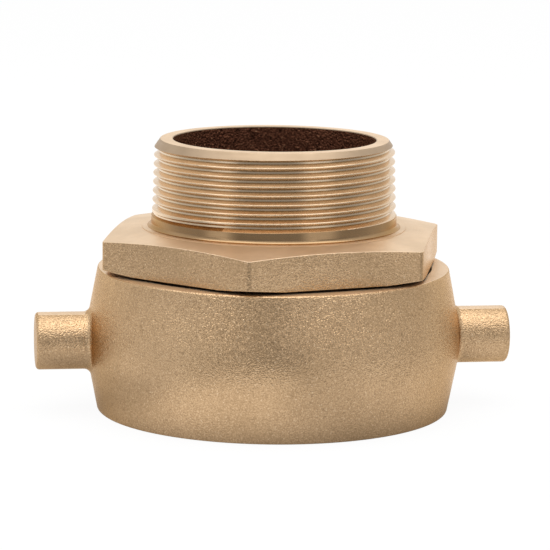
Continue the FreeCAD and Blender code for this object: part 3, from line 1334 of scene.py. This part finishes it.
@dataclass(frozen=True)
class GasketRubber:
    """Dull black moulded rubber with a light bloom."""

    black: Colour = (0.018, 0.017, 0.016, 1.0)
    bloom: Colour = (0.05, 0.048, 0.045, 1.0)
    grain: float = 0.3
    pits: float = 0.15
    depth: float = 0.02 * MM
    roughness: tuple[float, float] = (0.55, 0.75)

    def material(self, name: str, effects: SharedEffects) -> bpy.types.Material:
        """Builds the material.

        Args:
            name: The material's name.
            effects: The shared node groups.

        Returns:
            The material.
        """
        material, hand = new_material(name)
        sizes = {"Grain Size": self.grain, "Pit Amount": self.pits}
        grain = hand.add("ShaderNodeGroup", sizes, node_tree=effects.grain).outputs
        colour = hand.mix(hand.ramp(grain["Tone"], low=0.35, high=0.7), self.black, self.bloom)
        smoothest, roughest = self.roughness
        rough = hand.ramp(grain["Tone"], low=0.3, high=0.7, to_low=smoothest, to_high=roughest)
        bump = hand.add("ShaderNodeBump", {"Height": grain["Height"], "Distance": self.depth})
        hand.shade({"Base Color": colour, "Roughness": rough, "Normal": bump.outputs[0], "Metallic": 0.0})
        return material


@dataclass(frozen=True)
class BallSteel:
    """Polished bearing steel with a film of grease."""

    light: Colour = (0.66, 0.65, 0.63, 1.0)
    dark: Colour = (0.44, 0.42, 0.38, 1.0)
    grain: float = 0.8
    pits: float = 0.0
    roughness: tuple[float, float] = (0.12, 0.3)

    def material(self, name: str, effects: SharedEffects) -> bpy.types.Material:
        """Builds the material.

        Args:
            name: The material's name.
            effects: The shared node groups.

        Returns:
            The material.
        """
        material, hand = new_material(name)
        sizes = {"Grain Size": self.grain, "Pit Amount": self.pits}
        grain = hand.add("ShaderNodeGroup", sizes, node_tree=effects.grain).outputs
        colour = hand.mix(hand.ramp(grain["Tone"], low=0.3, high=0.7), self.dark, self.light)
        smoothest, roughest = self.roughness
        rough = hand.ramp(grain["Height"], low=0.6, high=1.2, to_low=smoothest, to_high=roughest)
        hand.shade({"Base Color": colour, "Roughness": rough, "Metallic": 1.0})
        return material


def make_finishes(nipple: HexNipple, swivel: HoseSwivel) -> Materials:
    """Builds every finish of the adapter.

    Args:
        nipple: The nipple, for its thread's sizes.
        swivel: The swivel, for its thread's sizes.

    Returns:
        The material of each finish.
    """
    effects = SharedEffects()
    makers = {
        Finish.CAST: CastBronze(),
        Finish.TURNED: TurnedBronze(),
        # A darker copy of turned bronze: painted shade on the collar.
        Finish.COLLAR: TurnedBronze(
            light=(0.40, 0.262, 0.142, 1.0), dark=(0.33, 0.21, 0.11, 1.0), glance=(0.92, 0.74, 0.55, 1.0),
            depth=0.006 * MM, roughness=(0.16, 0.24),
        ),
        # A darker copy of turned bronze: painted shade on the end chamfer.
        Finish.FACED: TurnedBronze(
            light=(0.46, 0.342, 0.232, 1.0), dark=(0.40, 0.294, 0.197, 1.0), depth=0.006 * MM,
            roughness=(0.4, 0.48),
        ),
        Finish.CORED: CastBronze(
            light=(0.21, 0.085, 0.048, 1.0), dark=(0.08, 0.03, 0.018, 1.0), pit=(0.02, 0.008, 0.005, 1.0),
            pale=(0.42, 0.26, 0.15, 1.0), grain=0.55, pits=0.5, depth=0.2 * MM, roughness=(0.45, 0.6),
        ),
        # Painted shade: near-black bronze for the faces in the gap between nipple and swivel.
        Finish.GREASED: CastBronze(
            light=(0.06, 0.036, 0.022, 1.0), dark=(0.025, 0.015, 0.01, 1.0), pit=(0.01, 0.006, 0.004, 1.0),
            pale=(0.11, 0.07, 0.045, 1.0), grain=0.6, pits=0.3, depth=0.06 * MM, roughness=(0.38, 0.5),
        ),
        Finish.PIPE_THREAD: TurnedBronze(
            light=(0.78, 0.60, 0.42, 1.0), dark=(0.69, 0.525, 0.36, 1.0), root=(0.62, 0.49, 0.345, 1.0),
            depth=0.006 * MM, roughness=(0.2, 0.28), thread=nipple.thread(),
        ),
        Finish.HOSE_THREAD: TurnedBronze(thread=swivel.thread()),
        Finish.RUBBER: GasketRubber(),
        Finish.BRASS: TurnedBronze(
            light=(0.76, 0.58, 0.28, 1.0), dark=(0.55, 0.40, 0.18, 1.0), roughness=(0.28, 0.4)
        ),
        Finish.STEEL: BallSteel(),
    }
    return {
        finish: maker.material(finish.value.replace(" ", "_"), effects) for finish, maker in makers.items()
    }


@dataclass(frozen=True)
class Lamp:
    """A soft oblong lamp: where it hangs, its width and height, and its power in watts."""

    name: str
    place: tuple[float, float, float]
    size: tuple[float, float]
    power: float

    def hang(self, aim: Vector) -> None:
        """Hangs the lamp and turns it to what it lights.

        Args:
            aim: The point it shines at.
        """
        deselect_all()
        bpy.ops.object.light_add(type="AREA", location=self.place)
        lamp = bpy.context.object
        lamp.name = self.name
        lamp.data.shape = "RECTANGLE"
        lamp.data.size, lamp.data.size_y = self.size
        lamp.data.energy = self.power
        lamp.rotation_euler = (aim - Vector(self.place)).to_track_quat("-Z", "Y").to_euler()


@dataclass
class Studio:
    """The pale floor, the soft lamps, the room's light and the camera."""

    distance: float = 720.64 * MM
    camera_height: float = 157.12 * MM
    view_turn: float = math.radians(8.03)
    pitch: float = 0.1704
    yaw: float = 0.0006
    roll: float = 0.0110
    focal_pixels: float = 2946.54
    image_pixels: float = 550.0
    sensor: float = 36.0
    clip_start: float = 10.0 * MM
    floor_size: float = 6.0
    floor_paint: Colour = (0.88, 0.88, 0.88, 1.0)
    # How strong the floor's glow looks in the bronze, a painted reflection: by x near the swivel, and by
    # direction further off.
    near_floor: Stops = (
        (-0.10, 1.1), (-0.066, 0.62), (-0.054, 0.62), (-0.040, 1.42), (-0.02, 1.3), (0.016, 0.75),
        (0.055, 1.05),
    )
    near_reach: float = 0.2
    far_floor: Stops = (
        (-2.5, 1.3), (-2.15, 1.0), (-1.85, 0.45), (-1.3, 0.3), (-1.15, 1.0), (-0.95, 1.0), (-0.7, 0.05),
        (0.26, 0.05), (0.45, 1.0), (0.75, 1.0), (0.95, 0.14), (1.3, 0.14), (1.75, 0.5), (2.1, 0.65),
        (2.5, 1.3),
    )
    # Where the near floor passes into the far one, and where a painted shadow round the swivel's foot
    # darkens it.
    far_blend: tuple[float, float] = (0.12, 0.22)
    foot_blend: tuple[float, float] = (0.040, 0.060)
    foot_strength: float = 0.36
    # How far the floor's glow takes the place of its paint, in the bronze and to the camera.
    mirror_share: float = 0.7
    camera_share: float = 0.92
    # How strong the room is in front by the height of the direction, and how it turns white behind.
    front_room: Stops = ((-0.06, 0.22), (0.08, 0.38), (0.26, 0.45), (0.5, 0.95))
    room_blend: tuple[float, float] = (-0.7, 0.5)
    room_back: float = 1.0
    lamp_aim: tuple[float, float, float] = (0.0, 0.0, 0.03)
    lamps: tuple[Lamp, ...] = (
        Lamp("lamp_left", place=(-0.81, -0.59, 0.24), size=(0.16, 0.44), power=0.21),
        Lamp("lamp_right", place=(0.47, -0.88, 0.24), size=(0.12, 0.44), power=0.18),
        Lamp("lamp_top", place=(0.0, -0.12, 0.95), size=(1.5, 1.06), power=7.2),
    )

    def lay_floor(self) -> None:
        """Lays the pale floor: white to the camera, and in the bronze a glow of several strengths, a
        painted reflection with a painted shadow round the swivel's foot.
        """
        deselect_all()
        bpy.ops.mesh.primitive_plane_add(size=self.floor_size, location=(0.0, 0.0, 0.0))
        floor = bpy.context.object
        floor.name = "studio_floor"
        material, hand = new_material("floor_white")
        path = hand.add("ShaderNodeLightPath")
        mirror = path.outputs["Is Glossy Ray"]
        place = hand.place()
        away = hand.add("ShaderNodeVectorMath", {0: place}, operation="LENGTH").outputs["Value"]
        parts = hand.split(place)
        angle = hand.math("ARCTAN2", parts["X"], hand.math("MULTIPLY", parts["Y"], -1.0))
        # Painted shadow: the glow dims round the swivel's foot in the bronze's reflections.
        foot = hand.ramp(away, *self.foot_blend, to_low=self.foot_strength)
        near = hand.bands(parts["X"], -self.near_reach, self.near_reach, self.near_floor)
        far = hand.bands(angle, -math.pi, math.pi, self.far_floor)
        further = hand.math("SUBTRACT", far, near)
        open_floor = hand.math("MULTIPLY_ADD", further, hand.ramp(away, *self.far_blend), near)
        mirrored = hand.math("MULTIPLY", hand.math("MULTIPLY", foot, open_floor), mirror)
        seen = hand.seen(path)
        strength = hand.math("MAXIMUM", seen, mirrored)
        seen_share = hand.math("MULTIPLY", seen, self.camera_share)
        share = hand.math("MULTIPLY_ADD", mirror, self.mirror_share, seen_share)
        paint = hand.add("ShaderNodeBsdfDiffuse", {"Color": self.floor_paint})
        glow = hand.add("ShaderNodeEmission", {"Color": WHITE, "Strength": strength})
        both = hand.add("ShaderNodeMixShader", {0: share, 1: paint.outputs[0], 2: glow.outputs[0]})
        hand.add("ShaderNodeOutputMaterial", {"Surface": both.outputs[0]})
        floor.data.materials.append(material)

    def light_room(self) -> None:
        """Sets the room's light: white behind the object, dimmer where the camera stands."""
        world = bpy.data.worlds.new("studio_room")
        world.use_nodes = True
        bpy.context.scene.world = world
        hand = Nodes(world.node_tree)
        path = hand.add("ShaderNodeLightPath")
        parts = hand.split(hand.add("ShaderNodeTexCoord").outputs["Generated"])
        front = hand.bands(parts["Z"], -1.0, 1.0, self.front_room)
        room = hand.ramp(parts["Y"], *self.room_blend, to_low=front, to_high=self.room_back)
        strength = hand.math("MAXIMUM", hand.seen(path), room)
        back = hand.add("ShaderNodeBackground", {"Color": WHITE, "Strength": strength})
        hand.add("ShaderNodeOutputWorld", {"Surface": back.outputs[0]})

    def set_camera(self) -> None:
        """Sets the camera at the photograph's viewing angle."""
        deselect_all()
        bpy.ops.object.camera_add()
        camera = bpy.context.object
        camera.name = "studio_camera"
        place = Matrix.Rotation(-self.view_turn, 3, "Z") @ Vector((0.0, -self.distance, self.camera_height))
        turn = (
            Matrix.Rotation(-self.view_turn - self.yaw, 4, "Z")
            @ Matrix.Rotation(QUARTER_TURN - self.pitch, 4, "X")
            @ Matrix.Rotation(self.roll, 4, "Z")
        )
        camera.matrix_world = Matrix.Translation(place) @ turn
        camera.data.sensor_width = self.sensor
        camera.data.lens = self.focal_pixels / self.image_pixels * self.sensor
        camera.data.clip_start = self.clip_start
        bpy.context.scene.camera = camera

    def build(self) -> None:
        """Sets up the whole studio."""
        self.lay_floor()
        self.light_room()
        for lamp in self.lamps:
            lamp.hang(Vector(self.lamp_aim))
        self.set_camera()
        bpy.context.scene.view_settings.view_transform = "Standard"


def main() -> None:
    """Builds the adapter's pieces, dresses them and sets up the studio."""
    logging.basicConfig(level=logging.INFO, format="%(name)s: %(message)s")
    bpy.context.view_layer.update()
    nipple = HexNipple()
    swivel = HoseSwivel()
    gasket = HoseGasket()
    plug = FillPlug()
    materials = make_finishes(nipple, swivel)
    for part in (nipple, swivel, gasket, plug):
        part.build()
        part.dress(materials)
        log.info("%s: %d faces", part.piece.name, len(part.piece.data.polygons))
    log.info("ball ring: %d balls", BallRing().dress(materials))
    Studio().build()


if __name__ == "__main__":
    main()
